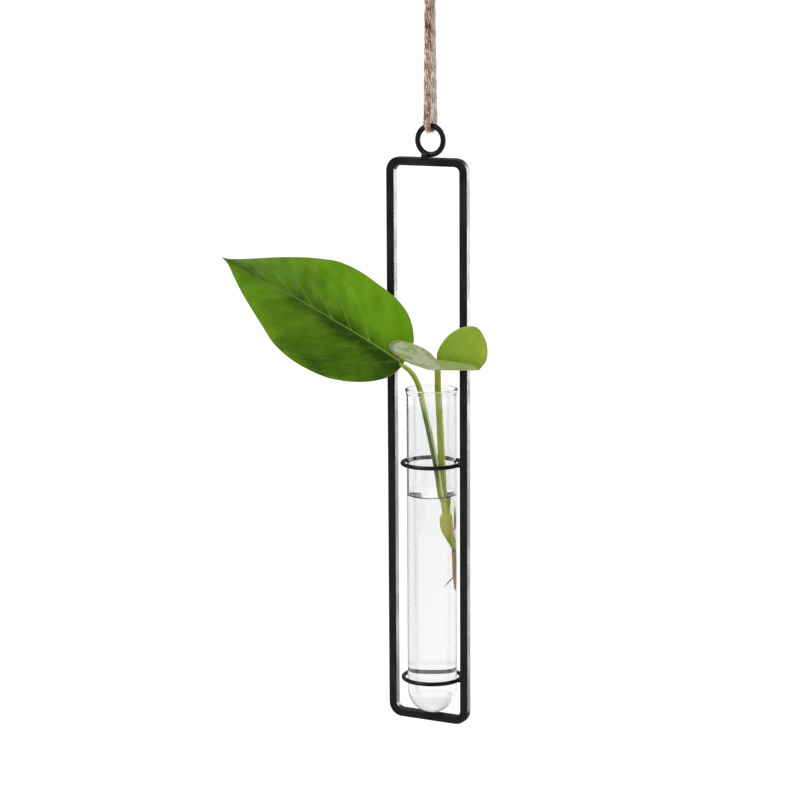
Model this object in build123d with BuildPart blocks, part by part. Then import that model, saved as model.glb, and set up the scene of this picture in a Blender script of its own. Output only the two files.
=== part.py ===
"""Hanging propagation vase: a test tube in a tall square-bar frame on a jute rope, with water and a leaf cutting.

Millimetres. +Z is up and +X runs along the frame's width, to the right seen from the front, which is -Y.
The origin is the hang point: the inside of the crown of the rope's loop, straight above the eye and the tube.
"""

import os
from math import acos, asin, atan2, cos, degrees, hypot, pi, radians, sin, tan

from build123d import *

os.makedirs("parts", exist_ok=True)

# Clearances
running_clearance = 0.3
water_clearance = 0.1
overrun = 1.0

# Rope: hanging loop, knot, and the doubled length down to the eye
rope_diameter = 4.7
strand_spacing = 5.3
rope_drop = 76.4
loop_width = 15.8
loop_height = 35.5
loop_neck_height = 7.5
loop_flare_height = 12.5
knot_height = 12.0
knot_wraps = 3
knot_wrap_diameter = 4.4
knot_wrap_bite = 0.5

# Eye on top of the frame, and the weld bead at its foot
eye_wire = 3.2
eye_radius = 8.4
eye_standoff = 0.2
eye_bead_radius = 2.7
eye_bead_left = 2.6
eye_bead_front = 1.3
eye_bead_height = 0.9

# Frame: one square bar, bent to a tall ring
bar = 5.0
frame_width = 53.5
frame_height = 343.5
frame_bend_radius = 8.5
bar_edge_radius = 0.6
eye_offset = 1.9

# Holder rings, welded to the right upright
ring_bore = 32.6
ring_wire = 2.5
ring_bead_diameter = 3.0
upper_ring_height = 155.3
lower_ring_height = 22.4

# Test tube
tube_diameter = 30.0
tube_length = 200.5
tube_wall = 1.5
lip_flare = 0.8
lip_depth = 4.0
lip_crown_depth = 1.2
lip_bore_opening = 0.55

# Water
water_below_rim = 65.5
meniscus_height = 1.0
meniscus_width = 2.4
pocket_centre_right = 7.6
pocket_centre_front = 4.2
pocket_length = 5.2
pocket_width = 8.8
pocket_depth = 34.5
root_pocket_centre_right = 8.3
root_pocket_centre_front = 3.0
root_pocket_length = 3.8
root_pocket_width = 3.6
root_pocket_depth = 60.0

# Cutting: the leaves turn to one side of the front and a little upwards
facing_turn = 27.86
facing_rise = 10.0
stem_top_below_rim = 69.6
stem_length = 29.4
stem_radius = 2.2
root_length = 25.2
root_radius = 0.95
rootlet_radius = 0.4
rootlet_length = 6.6
rootlet_below_stem = 17.6
sheath_height = 19.5
sheath_radius = 2.2
sheath_thickness = 0.8
large_petiole_diameter = 3.0
small_petiole_diameter = 3.8

# Large leaf
large_leaf_length = 126.7
large_leaf_thickness = 0.7
large_leaf_turn = 149.0
large_leaf_arch_radius = 290.0
large_leaf_depth = 45.0
large_leaf_base_left = 17.2
large_leaf_base_front = 14.5
large_leaf_base_above_rim = 16.0

# Small leaf, folded up along its midrib and cupped towards the front
small_leaf_length = 57.5
small_leaf_thickness = 0.7
small_leaf_turn = 8.0
small_leaf_cup_radius = 75.0
small_leaf_cup_turn = 80.0
small_leaf_depth = 40.0
small_leaf_base_right = 3.55
small_leaf_base_front = 18.3
small_leaf_base_above_rim = 14.6

# Heights that follow, from the hang point down
knot_top_z = -loop_height
knot_bottom_z = knot_top_z - knot_height
eye_wire_z = knot_bottom_z - rope_drop
eye_z = eye_wire_z - eye_radius
frame_top_z = eye_z - eye_radius - eye_wire / 2 - eye_standoff
frame_bottom_z = frame_top_z - frame_height
seat_z = frame_bottom_z + bar
tube_bottom_z = seat_z + running_clearance
rim_z = tube_bottom_z + tube_length
water_z = rim_z - water_below_rim
upper_ring_z = seat_z + upper_ring_height
lower_ring_z = seat_z + lower_ring_height
stem_top_z = rim_z - stem_top_below_rim

# Widths that follow
frame_x = -eye_offset
right_inner_x = frame_x + frame_width / 2 - bar
tube_radius = tube_diameter / 2
bore_radius = tube_radius - tube_wall
ring_radius = ring_bore / 2 + ring_wire / 2
rope_bend_radius = eye_wire / 2 + rope_diameter / 2 + running_clearance


def place(right, front, height):
    """A point by how far it lies right and in front of the tube's axis, seen from the side that the leaves turn to."""
    turn = radians(facing_turn)
    return Vector(right * cos(turn) + front * sin(turn), right * sin(turn) - front * cos(turn), height)


def facing_plane(origin, turn, twist):
    """A leaf's plane at that point: x up the leaf, once turned by the twist, and the normal out of its face."""
    side, rise, roll = radians(turn), radians(facing_rise), radians(twist)
    out = Vector(sin(side) * cos(rise), -cos(side) * cos(rise), sin(rise))
    across = Vector(cos(side), sin(side), 0)
    along = across * cos(roll) + out.cross(across) * sin(roll)
    return Plane(origin=origin, x_dir=along, z_dir=out)


def plan_plane(height):
    """A level plane whose x runs right and whose -y runs to the front, seen from that side."""
    turn = radians(facing_turn)
    return Plane(origin=(0, 0, height), x_dir=(cos(turn), sin(turn), 0), z_dir=(0, 0, 1))


def bend_radii(points, largest_share=0.45):
    """The arc at each corner of a route: as large as its two runs allow."""
    radii = []
    for before, corner, after in zip(points, points[1:], points[2:]):
        run_in = Vector(corner) - Vector(before)
        run_out = Vector(after) - Vector(corner)
        half_turn = radians(run_in.get_angle(run_out)) / 2
        radii.append(largest_share * min(run_in.length, run_out.length) / tan(half_turn))
    return radii


def report_cord(name, route, section_diameter, solid, radii):
    """Prints a cord's bends and compares its volume with its section times its length."""
    length = sum(edge.length for edge in route.edges())
    section = pi * section_diameter**2 / 4
    print(name, "length", round(length, 1), "radii", [round(r, 1) for r in radii])
    print(name, "volume", round(solid.volume, 1), "section x length", round(section * length, 1))


# Frame bar: a square bar bent to a tall ring with rounded corners
with BuildPart() as frame_bar:
    with BuildSketch(Plane.XZ):
        with Locations((frame_x, frame_bottom_z + frame_height / 2)):
            RectangleRounded(frame_width, frame_height, frame_bend_radius)
            RectangleRounded(
                frame_width - 2 * bar, frame_height - 2 * bar, frame_bend_radius - bar, mode=Mode.SUBTRACT
            )
    extrude(amount=bar / 2, both=True)
    flat_faces = frame_bar.faces().filter_by(Axis.Y)
    fillet(flat_faces.edges(), radius=bar_edge_radius)
frame_bar.part.label = "frame_bar"

# Hanging eye: a wire ring on the top bar, with the weld bead that runs over the bar's front edge
with BuildPart() as hanging_eye:
    with BuildSketch(Plane.XY.offset(eye_z)):
        with Locations((eye_radius, 0)):
            Circle(eye_wire / 2)
    revolve(axis=Axis((0, 0, eye_z), (0, 1, 0)))
    with Locations((-eye_bead_left, -eye_bead_front, frame_top_z + eye_bead_height)):
        Sphere(eye_bead_radius)
    add(frame_bar.part, mode=Mode.SUBTRACT)
hanging_eye.part.label = "hanging_eye"


def holder_ring(height):
    """A wire ring round the tube, with the weld bead that joins it to the right upright."""
    with BuildPart() as ring:
        with BuildSketch(Plane.XZ.offset(0)):
            with Locations((ring_radius, height)):
                Circle(ring_wire / 2)
        revolve(axis=Axis.Z)
        with BuildSketch(Plane.YZ.offset(ring_radius)):
            with Locations((0, height)):
                Circle(ring_bead_diameter / 2)
        extrude(amount=right_inner_x - ring_radius)
    return ring.part


upper_holder_ring = holder_ring(upper_ring_z)
upper_holder_ring.label = "upper_holder_ring"
lower_holder_ring = holder_ring(lower_ring_z)
lower_holder_ring.label = "lower_holder_ring"

# Glass tube: one wall with a round bottom and a flared, fire-polished lip
with BuildPart() as glass_tube:
    with BuildSketch(Plane.XZ):
        with BuildLine():
            outer_round_z = tube_bottom_z + tube_radius
            lip_start_z = rim_z - lip_depth
            lip_side_z = rim_z - lip_crown_depth
            lip_radius = tube_radius + lip_flare
            lip_bore = bore_radius + lip_bore_opening
            slant = sin(radians(45))
            ThreePointArc(
                (0, tube_bottom_z),
                (tube_radius * slant, outer_round_z - tube_radius * slant),
                (tube_radius, outer_round_z),
            )
            Line((tube_radius, outer_round_z), (tube_radius, lip_start_z))
            Spline(
                (tube_radius, lip_start_z),
                (lip_radius, lip_side_z),
                ((lip_radius + lip_bore) / 2, rim_z),
                (lip_bore, lip_side_z),
                (bore_radius, lip_start_z),
                tangents=((0, 1), (0, -1)),
            )
            Line((bore_radius, lip_start_z), (bore_radius, outer_round_z))
            ThreePointArc(
                (bore_radius, outer_round_z),
                (bore_radius * slant, outer_round_z - bore_radius * slant),
                (0, outer_round_z - bore_radius),
            )
            Line((0, outer_round_z - bore_radius), (0, tube_bottom_z))
        make_face()
    revolve(axis=Axis.Z)
glass_tube.part.label = "glass_tube"

# Water: fills the bore up to the water line, with a straight pocket that clears the immersed cutting as it lifts
with BuildPart() as water:
    with BuildSketch(Plane.XZ):
        with BuildLine():
            water_radius = bore_radius - water_clearance
            Line((0, outer_round_z - water_radius), (0, water_z))
            Line((0, water_z), (water_radius - meniscus_width, water_z))
            Spline(
                (water_radius - meniscus_width, water_z),
                (water_radius, water_z + meniscus_height),
                tangents=((1, 0), (0, 1)),
            )
            Line((water_radius, water_z + meniscus_height), (water_radius, outer_round_z))
            ThreePointArc(
                (water_radius, outer_round_z),
                (water_radius * slant, outer_round_z - water_radius * slant),
                (0, outer_round_z - water_radius),
            )
        make_face()
    revolve(axis=Axis.Z)
    with BuildSketch(plan_plane(water_z - pocket_depth)):
        with Locations((pocket_centre_right, -pocket_centre_front)):
            SlotCenterToCenter(pocket_length, pocket_width)
    extrude(amount=pocket_depth + meniscus_height + overrun, mode=Mode.SUBTRACT)
    with BuildSketch(plan_plane(water_z - root_pocket_depth)):
        with Locations((root_pocket_centre_right, -root_pocket_centre_front)):
            SlotCenterToCenter(root_pocket_length, root_pocket_width)
    extrude(amount=root_pocket_depth, mode=Mode.SUBTRACT)
water.part.label = "water"

# Main stem: a short node of the vine, oval where the leaf stalks sit on it, with a swollen ring, bending to the root
# Each row: depth share of the stem's length, then right, front, half width and half depth in stem radii
stem_shares = (
    (0.00, 2.86, 1.91, 1.00, 1.55),
    (0.20, 2.86, 1.91, 1.00, 1.36),
    (0.29, 2.90, 1.88, 1.24, 1.40),
    (0.38, 2.92, 1.85, 1.14, 1.22),
    (0.58, 2.96, 1.77, 1.18, 1.18),
    (0.72, 3.50, 1.59, 1.14, 1.12),
    (0.87, 4.18, 1.41, 0.80, 0.80),
    (1.00, 4.55, 1.36, 0.43, 0.43),
)
with BuildPart() as main_stem:
    for depth, right, front, half_width, half_depth in stem_shares:
        with BuildSketch(plan_plane(stem_top_z - depth * stem_length)):
            with Locations((right * stem_radius, -front * stem_radius)):
                Ellipse(half_width * stem_radius, half_depth * stem_radius)
    loft()
main_stem.part.label = "main_stem"

# Root: one tapering strand below the stem
stem_end_z = stem_top_z - stem_length
stem_end_right = stem_shares[-1][1] * stem_radius
stem_end_front = stem_shares[-1][2] * stem_radius
root_top_z = stem_end_z - water_clearance
root_shares = ((0.0, 0.0, 1.0), (0.3, 0.3, 0.92), (0.7, 0.5, 0.75), (1.0, 0.1, 0.45))
with BuildPart() as root:
    for depth, drift, girth in root_shares:
        with BuildSketch(plan_plane(root_top_z - depth * root_length)):
            with Locations((stem_end_right + drift * root_radius, -stem_end_front)):
                Circle(girth * root_radius)
    loft()
root.part.label = "root"

# Rootlet: a thin side strand that leaves the root towards the tube's middle and down
rootlet_z = stem_end_z - rootlet_below_stem
rootlet_start_right = stem_end_right - root_radius - running_clearance / 2
rootlet_shares = ((0.0, 0.0), (-0.26, -0.18), (-0.46, -0.52), (-0.62, -0.80))
rootlet_points = [
    place(rootlet_start_right + across * rootlet_length, stem_end_front, rootlet_z + drop * rootlet_length)
    for across, drop in rootlet_shares
]
with BuildPart() as rootlet:
    with BuildLine() as rootlet_route:
        FilletPolyline(*rootlet_points, radius=bend_radii(rootlet_points))
    with BuildSketch(Plane(origin=rootlet_route.line @ 0, z_dir=rootlet_route.line % 0)):
        Circle(rootlet_radius)
    sweep(path=rootlet_route.line)
rootlet.part.label = "rootlet"

# Leaf sheath: the dry blade that stands off the stem's side
# Each row: height share, then right and front in sheath radii, half thickness share and half width share
sheath_top_z = water_z - overrun
sheath_shares = (
    (0.00, 4.50, 1.60, 0.8, 0.55),
    (0.45, 4.82, 1.58, 1.0, 1.00),
    (0.80, 5.05, 1.56, 0.9, 0.85),
    (1.00, 5.18, 1.55, 0.6, 0.40),
)
with BuildPart() as leaf_sheath:
    for rise, right, front, half_thickness, half_width in sheath_shares:
        with BuildSketch(plan_plane(sheath_top_z - (1 - rise) * sheath_height)):
            with Locations((right * sheath_radius, -front * sheath_radius)):
                Ellipse(half_thickness * sheath_thickness / 2, half_width * sheath_radius)
    loft()
leaf_sheath.part.label = "leaf_sheath"


def petiole(points, diameter):
    """A round leaf stalk along its points."""
    with BuildPart() as stalk:
        with BuildLine() as stalk_route:
            FilletPolyline(*points, radius=bend_radii(points))
        with BuildSketch(Plane(origin=stalk_route.line @ 0, z_dir=stalk_route.line % 0)):
            Circle(diameter / 2)
        sweep(path=stalk_route.line)
    return stalk.part


# Large petiole: from the stem's front up to the rim, over it and left to the leaf's foot
# Rows: left and front as shares of the leaf foot's, height as a share of the whole rise
large_rise = stem_top_below_rim + large_leaf_base_above_rim
large_petiole_shares = (
    (-0.302, 0.414, 0.000),
    (-0.302, 0.414, 0.050),
    (-0.140, 0.510, 0.285),
    (0.070, 0.572, 0.500),
    (0.265, 0.617, 0.690),
    (0.382, 0.644, 0.805),
    (0.560, 0.750, 0.902),
    (0.760, 0.870, 0.962),
    (0.975, 0.992, 0.998),
)
large_petiole_points = [
    place(-left * large_leaf_base_left, front * large_leaf_base_front, stem_top_z + height * large_rise)
    for left, front, height in large_petiole_shares
]
large_leaf_petiole = petiole(large_petiole_points, large_petiole_diameter)
large_leaf_petiole.label = "large_leaf_petiole"

# Small petiole: from the stem's back, leaning out over the front of the rim to the fold of the small leaf
# The fold's lowest point, forward and up from the leaf's foot in shares of the leaf's width
fold_bottom_share = (-0.0011, -0.0154)
small_fold_depth = small_leaf_thickness / 2 - fold_bottom_share[1] * small_leaf_length
small_rise = stem_top_below_rim + small_leaf_base_above_rim - small_fold_depth
small_petiole_shares = (
    (1.970, 0.142, 0.000),
    (1.970, 0.142, 0.050),
    (1.500, 0.405, 0.475),
    (1.090, 0.575, 0.830),
    (1.020, 0.830, 0.920),
    (1.000, 0.960, 1.000),
)
small_petiole_points = [
    place(right * small_leaf_base_right, front * small_leaf_base_front, stem_top_z + height * small_rise)
    for right, front, height in small_petiole_shares
]
small_leaf_petiole = petiole(small_petiole_points, small_petiole_diameter)
small_leaf_petiole.label = "small_leaf_petiole"


def scaled(shares, size):
    """A table of shares as points in millimetres."""
    return [(across * size, along * size) for across, along in shares]


# Large leaf: a thin blade, a gull wing across its midrib, arched back from its foot to its tip
# Outline from the foot over the upper edge to the tip and back along the lower edge, as shares of its length
large_upper_shares = (
    (0.003, -0.014), (0.012, -0.119), (0.037, -0.159), (0.075, -0.197), (0.127, -0.232), (0.192, -0.259),
    (0.247, -0.270), (0.305, -0.275), (0.406, -0.279), (0.505, -0.271), (0.585, -0.238), (0.666, -0.198),
    (0.777, -0.133), (0.891, -0.063), (0.966, -0.015), (1.000, -0.009),
)
large_lower_shares = (
    (1.000, -0.009), (0.957, 0.003), (0.904, 0.036), (0.829, 0.086), (0.735, 0.131), (0.658, 0.167),
    (0.585, 0.207), (0.513, 0.225), (0.436, 0.234), (0.344, 0.235), (0.260, 0.223), (0.186, 0.193),
    (0.120, 0.156), (0.057, 0.106), (0.023, 0.061), (0.003, 0.014),
)
# Across the midrib: sideways and back, in shares of the same length
large_upper_wing_shares = ((-0.319, -0.0600), (-0.169, -0.0212), (-0.019, 0.0))
large_lower_wing_shares = ((-0.019, 0.0), (0.123, -0.0292), (0.265, -0.0827))
large_leaf_base = place(-large_leaf_base_left, large_leaf_base_front, rim_z + large_leaf_base_above_rim)
large_leaf_plane = facing_plane(large_leaf_base, facing_turn, large_leaf_turn)
arch_centre = large_leaf_plane.from_local_coords(Vector(0, 0, -large_leaf_arch_radius))
arch_section = Plane(origin=large_leaf_base, x_dir=large_leaf_plane.y_dir, z_dir=large_leaf_plane.x_dir)
arch_turn = degrees(asin((large_leaf_length + overrun) / (large_leaf_arch_radius - large_leaf_depth / 4)))
with BuildPart() as large_leaf:
    with BuildSketch(large_leaf_plane):
        with BuildLine():
            Spline(*scaled(large_upper_shares, large_leaf_length))
            Spline(*scaled(large_lower_shares, large_leaf_length))
            Line(
                (large_lower_shares[-1][0] * large_leaf_length, large_lower_shares[-1][1] * large_leaf_length),
                (large_upper_shares[0][0] * large_leaf_length, large_upper_shares[0][1] * large_leaf_length),
            )
        make_face()
    extrude(amount=large_leaf_depth, both=True)
    with BuildSketch(arch_section):
        with BuildLine():
            for offset in (-large_leaf_thickness / 2, large_leaf_thickness / 2):
                for wing in (large_upper_wing_shares, large_lower_wing_shares):
                    ThreePointArc(*[(side, back + offset) for side, back in scaled(wing, large_leaf_length)])
            for side, back in scaled((large_upper_wing_shares[0], large_lower_wing_shares[-1]), large_leaf_length):
                Line((side, back - large_leaf_thickness / 2), (side, back + large_leaf_thickness / 2))
        make_face()
    revolve(axis=Axis(arch_centre, large_leaf_plane.y_dir), revolution_arc=arch_turn, mode=Mode.INTERSECT)
large_leaf.part.label = "large_leaf"

# Small leaf: the near half leans forward and shows its underside, the far half stands up behind it
# Outlines as shares of its width, seen from the side that the leaves turn to
near_half_shares = (
    (0.418, 0.018), (0.159, 0.062), (-0.044, 0.095), (-0.095, 0.131), (-0.166, 0.197), (-0.263, 0.253),
    (-0.395, 0.289), (-0.462, 0.270), (-0.499, 0.230), (-0.452, 0.159), (-0.381, 0.108), (-0.278, 0.057),
    (-0.145, 0.009), (-0.090, -0.017), (0.038, -0.042), (0.226, -0.045), (0.430, -0.030),
)
far_half_shares = (
    (-0.001, 0.096), (-0.001, 0.178), (0.061, 0.290), (0.153, 0.376), (0.244, 0.420), (0.344, 0.432),
    (0.413, 0.405), (0.472, 0.322), (0.501, 0.230), (0.501, 0.129), (0.471, 0.059), (0.430, -0.030),
)
far_foot_shares = ((0.430, -0.030), (0.226, -0.050), (0.038, -0.050), (-0.040, 0.010), (-0.001, 0.096))
# Across the fold: forward and up from its foot, in shares of the same width; two straight wings and the round between
near_wing_shares = ((0.2170, 0.3480), (0.0123, -0.0095))
near_round_shares = ((0.0123, -0.0095), (0.0066, -0.0146), fold_bottom_share)
far_round_shares = (fold_bottom_share, (-0.0078, -0.0115), (-0.0109, -0.0045))
far_wing_shares = ((-0.0109, -0.0045), (-0.0630, 0.5220))
small_leaf_base = place(small_leaf_base_right, small_leaf_base_front, rim_z + small_leaf_base_above_rim)
small_leaf_plane = facing_plane(small_leaf_base, facing_turn, 0)
cup_turn = radians(small_leaf_turn)
cup_axis_point = small_leaf_base + Vector(sin(cup_turn), -cos(cup_turn), 0) * small_leaf_cup_radius
cup_start = radians(small_leaf_turn + small_leaf_cup_turn / 2)
cup_section = Plane(
    origin=cup_axis_point, x_dir=(-sin(cup_start), cos(cup_start), 0), z_dir=(cos(cup_start), sin(cup_start), 0)
)


def cup_points(shares):
    """Points of the fold's section, measured from the axis that the leaf is cupped round."""
    return [
        (small_leaf_cup_radius - forward * small_leaf_length, height * small_leaf_length)
        for forward, height in shares
    ]


with BuildPart() as small_leaf:
    with BuildSketch(small_leaf_plane):
        with BuildLine():
            Spline(*scaled(near_half_shares, small_leaf_length))
            Line(
                (near_half_shares[-1][0] * small_leaf_length, near_half_shares[-1][1] * small_leaf_length),
                (near_half_shares[0][0] * small_leaf_length, near_half_shares[0][1] * small_leaf_length),
            )
        make_face()
    extrude(amount=small_leaf_depth, both=True)
    with BuildSketch(cup_section):
        with BuildLine():
            Line(*cup_points(near_wing_shares))
            ThreePointArc(*cup_points(near_round_shares))
        trace(line_width=small_leaf_thickness)
    revolve(axis=Axis(cup_axis_point, (0, 0, 1)), revolution_arc=-small_leaf_cup_turn, mode=Mode.INTERSECT)
    with BuildSketch(small_leaf_plane) as far_outline:
        with BuildLine():
            Spline(*scaled(far_half_shares, small_leaf_length))
            Polyline(*scaled(far_foot_shares, small_leaf_length))
        make_face()
    far_prism = extrude(far_outline.sketch, amount=small_leaf_depth, both=True, mode=Mode.PRIVATE)
    with BuildSketch(cup_section) as far_wing:
        with BuildLine():
            ThreePointArc(*cup_points(far_round_shares))
            Line(*cup_points(far_wing_shares))
        trace(line_width=small_leaf_thickness)
    far_band = revolve(
        far_wing.sketch,
        axis=Axis(cup_axis_point, (0, 0, 1)),
        revolution_arc=-small_leaf_cup_turn,
        mode=Mode.PRIVATE,
    )
    add(far_prism & far_band)
small_leaf.part.label = "small_leaf"

# Rope: one doubled length that hangs from the knot, passes under the eye's wire and goes back up
strand_half = strand_spacing / 2
strand_top_z = knot_bottom_z - running_clearance
strand_rise = strand_top_z - eye_wire_z
tangent_turn = atan2(strand_rise, -strand_half) + acos(rope_bend_radius / hypot(strand_rise, strand_half))
tangent_y = rope_bend_radius * cos(tangent_turn)
tangent_z = eye_wire_z + rope_bend_radius * sin(tangent_turn)
with BuildPart() as rope_strands:
    with BuildLine() as rope_route:
        Line((0, -strand_half, strand_top_z), (0, tangent_y, tangent_z))
        ThreePointArc((0, tangent_y, tangent_z), (0, 0, eye_wire_z - rope_bend_radius), (0, -tangent_y, tangent_z))
        Line((0, -tangent_y, tangent_z), (0, strand_half, strand_top_z))
    with BuildSketch(Plane(origin=rope_route.line @ 0, z_dir=rope_route.line % 0)):
        Circle(rope_diameter / 2)
    sweep(path=rope_route.line)
rope_strands.part.label = "rope_strands"

# Knot: level wraps round the two strands, on a core that fills between them
wrap_spread = (rope_diameter + knot_wrap_diameter) / 2 - knot_wrap_bite
wrap_pitch = (knot_height - knot_wrap_diameter) / (knot_wraps - 1)
with BuildPart() as rope_knot:
    with BuildSketch(Plane.XY.offset(knot_bottom_z)):
        SlotCenterToCenter(strand_spacing, rope_diameter, rotation=90)
    extrude(amount=knot_height)
    for turn in range(knot_wraps):
        wrap_z = knot_bottom_z + knot_wrap_diameter / 2 + turn * wrap_pitch
        for side in (-1, 1):
            with BuildSketch(Plane.XZ.offset(-strand_half)):
                with Locations((side * wrap_spread, wrap_z)):
                    Circle(knot_wrap_diameter / 2)
            extrude(amount=strand_spacing)
            with BuildSketch(Plane.XZ.offset(side * strand_half)):
                with Locations((wrap_spread, wrap_z)):
                    Circle(knot_wrap_diameter / 2)
            revolve(axis=Axis((0, -side * strand_half, 0), (0, 0, side)), revolution_arc=-180)
rope_knot.part.label = "rope_knot"

# Loop: from the top of the knot round the place of a hook and back
loop_half = loop_width / 2
loop_crown_z = rope_diameter / 2
loop_neck_z = knot_top_z + loop_neck_height
loop_side_z = loop_neck_z + loop_flare_height
loop_points = [
    (0, -strand_half, knot_top_z),
    (0, -strand_half, loop_neck_z),
    (0, -loop_half, loop_side_z),
    (0, -loop_half, loop_crown_z),
    (0, loop_half, loop_crown_z),
    (0, loop_half, loop_side_z),
    (0, strand_half, loop_neck_z),
    (0, strand_half, knot_top_z),
]
loop_radii = bend_radii(loop_points)
with BuildPart() as hanging_loop:
    with BuildLine() as loop_route:
        FilletPolyline(*loop_points, radius=loop_radii)
    with BuildSketch(Plane(origin=loop_route.line @ 0, z_dir=loop_route.line % 0)):
        Circle(rope_diameter / 2)
    sweep(path=loop_route.line)
hanging_loop.part.label = "hanging_loop"

print("rim", rim_z, "water", water_z, "frame", frame_top_z, frame_bottom_z, "eye", eye_z)
report_cord("rope_strands", rope_route.line, rope_diameter, rope_strands.part, [rope_bend_radius])
report_cord("hanging_loop", loop_route.line, rope_diameter, hanging_loop.part, loop_radii)
for made in (
    frame_bar, hanging_eye, glass_tube, water, main_stem, root, rootlet, leaf_sheath, large_leaf, small_leaf,
    rope_strands, rope_knot, hanging_loop,
):
    export_step(made.part, f"parts/{made.part.label}.step")
for made in (upper_holder_ring, lower_holder_ring, large_leaf_petiole, small_leaf_petiole):
    export_step(made, f"parts/{made.label}.step")
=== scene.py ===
"""Hanging propagation vase: a square-bar frame on a doubled jute rope, with a glass tube of water and a leaf cutting.

The part's own frame: +Z up, +X along the frame's width, -Y to the front, origin at the hang point.
Shapes are worked in millimetres, and each piece is brought to metres when it is finished.
"""

import random
from math import atan2, cos, exp, pi, radians, sin, sqrt

import bmesh
import bpy
import numpy as np
from mathutils import Matrix, Vector, noise


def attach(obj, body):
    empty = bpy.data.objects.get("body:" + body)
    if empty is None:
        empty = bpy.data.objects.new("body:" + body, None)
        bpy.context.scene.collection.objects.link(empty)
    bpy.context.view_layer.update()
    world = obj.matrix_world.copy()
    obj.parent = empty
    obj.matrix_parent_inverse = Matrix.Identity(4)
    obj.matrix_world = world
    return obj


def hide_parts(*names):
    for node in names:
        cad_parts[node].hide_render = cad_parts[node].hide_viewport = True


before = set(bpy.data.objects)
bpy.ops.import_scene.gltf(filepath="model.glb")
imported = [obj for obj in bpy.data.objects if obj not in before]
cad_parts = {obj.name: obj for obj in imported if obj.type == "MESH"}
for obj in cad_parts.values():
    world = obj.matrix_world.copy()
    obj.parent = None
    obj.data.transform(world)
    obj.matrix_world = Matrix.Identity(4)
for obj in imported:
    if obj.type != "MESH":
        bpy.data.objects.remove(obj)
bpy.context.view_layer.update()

mm = 0.001
scene = bpy.context.scene

# Heights and sizes that the looks share with the part's source, in millimetres
rim_z = -280.2
water_z = -345.7
tube_bottom_z = -480.7
tube_radius = 15.0
bore_radius = 13.9
knot_bottom_z = -47.5
knot_top_z = -35.5
stem_top_z = -349.8
facing_turn = radians(27.86)
facing_rise = radians(10.0)


# ---- Building ----


def place_at(right, front, height):
    """A point by how far it lies right and in front of the tube's axis, seen from the side that the leaves turn to."""
    turn = facing_turn
    return Vector((right * cos(turn) + front * sin(turn), right * sin(turn) - front * cos(turn), height))


def add_piece(name, bm, finishes, body, replaced=(), crease=180):
    """Makes a bmesh in millimetres a finished piece in metres that rides on its body."""
    bmesh.ops.scale(bm, vec=(mm, mm, mm), verts=bm.verts)
    mesh = bpy.data.meshes.new(name)
    bm.to_mesh(mesh)
    bm.free()
    for finish in finishes:
        mesh.materials.append(finish)
    mesh.shade_smooth()
    if crease < 180:
        mesh.set_sharp_from_angle(angle=radians(crease))
    piece = bpy.data.objects.new(name, mesh)
    scene.collection.objects.link(piece)
    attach(piece, body)
    if replaced:
        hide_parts(*replaced)
    return piece


def append(bm, part):
    """Adds one bmesh to another."""
    mesh = bpy.data.meshes.new("part")
    part.to_mesh(mesh)
    part.free()
    bm.from_mesh(mesh)
    bpy.data.meshes.remove(mesh)


def spun(profile, steps):
    """A solid of revolution about the tube's axis, from a profile of (radius, height) between two points of the axis."""
    bm = bmesh.new()
    verts = [bm.verts.new((radius, 0, height)) for radius, height in profile]
    edges = [bm.edges.new(pair) for pair in zip(verts, verts[1:])]
    bmesh.ops.spin(bm, geom=verts + edges, cent=(0, 0, 0), axis=(0, 0, 1), angle=2 * pi, steps=steps, use_merge=True)
    bmesh.ops.remove_doubles(bm, verts=bm.verts, dist=1e-4)
    bmesh.ops.recalc_face_normals(bm, faces=bm.faces)
    return bm


def arc(centre_z, radius, start, end, count):
    """Points of a round bottom, by angle from straight down."""
    turns = np.linspace(radians(start), radians(end), count)
    return [(radius * sin(t), centre_z - radius * cos(t)) for t in turns]


def smooth_line(points, count):
    """Evenly spaced points on a smooth line through the given ones."""
    known = np.array(points, float)
    ends = np.vstack([2 * known[0] - known[1], known, 2 * known[-1] - known[-2]])
    dense = []
    for a, b, c, d in zip(ends, ends[1:], ends[2:], ends[3:]):
        for t in np.linspace(0, 1, 24, endpoint=False):
            dense.append(
                0.5 * (2 * b + (c - a) * t + (2 * a - 5 * b + 4 * c - d) * t**2 + (3 * b - a - 3 * c + d) * t**3)
            )
    dense = np.array(dense + [known[-1]])
    walked = np.concatenate([[0], np.cumsum(np.linalg.norm(np.diff(dense, axis=0), axis=1))])
    wanted = np.linspace(0, walked[-1], count)
    return np.stack([np.interp(wanted, walked, dense[:, k]) for k in range(known.shape[1])], axis=1)


def frames_along(line):
    """A frame at each point of a line, its Z along the line, carried on without twist."""
    line = [Vector(p) for p in line]
    frames = []
    side = None
    for i, point in enumerate(line):
        ahead = (line[min(i + 1, len(line) - 1)] - line[max(i - 1, 0)]).normalized()
        if side is None:
            side = Vector((1, 0, 0)) if abs(ahead.x) < 0.9 else Vector((0, 1, 0))
        side = (side - ahead * side.dot(ahead)).normalized()
        up = ahead.cross(side)
        frames.append(Matrix.Translation(point) @ Matrix((side, up, ahead)).transposed().to_4x4())
    return frames


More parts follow.
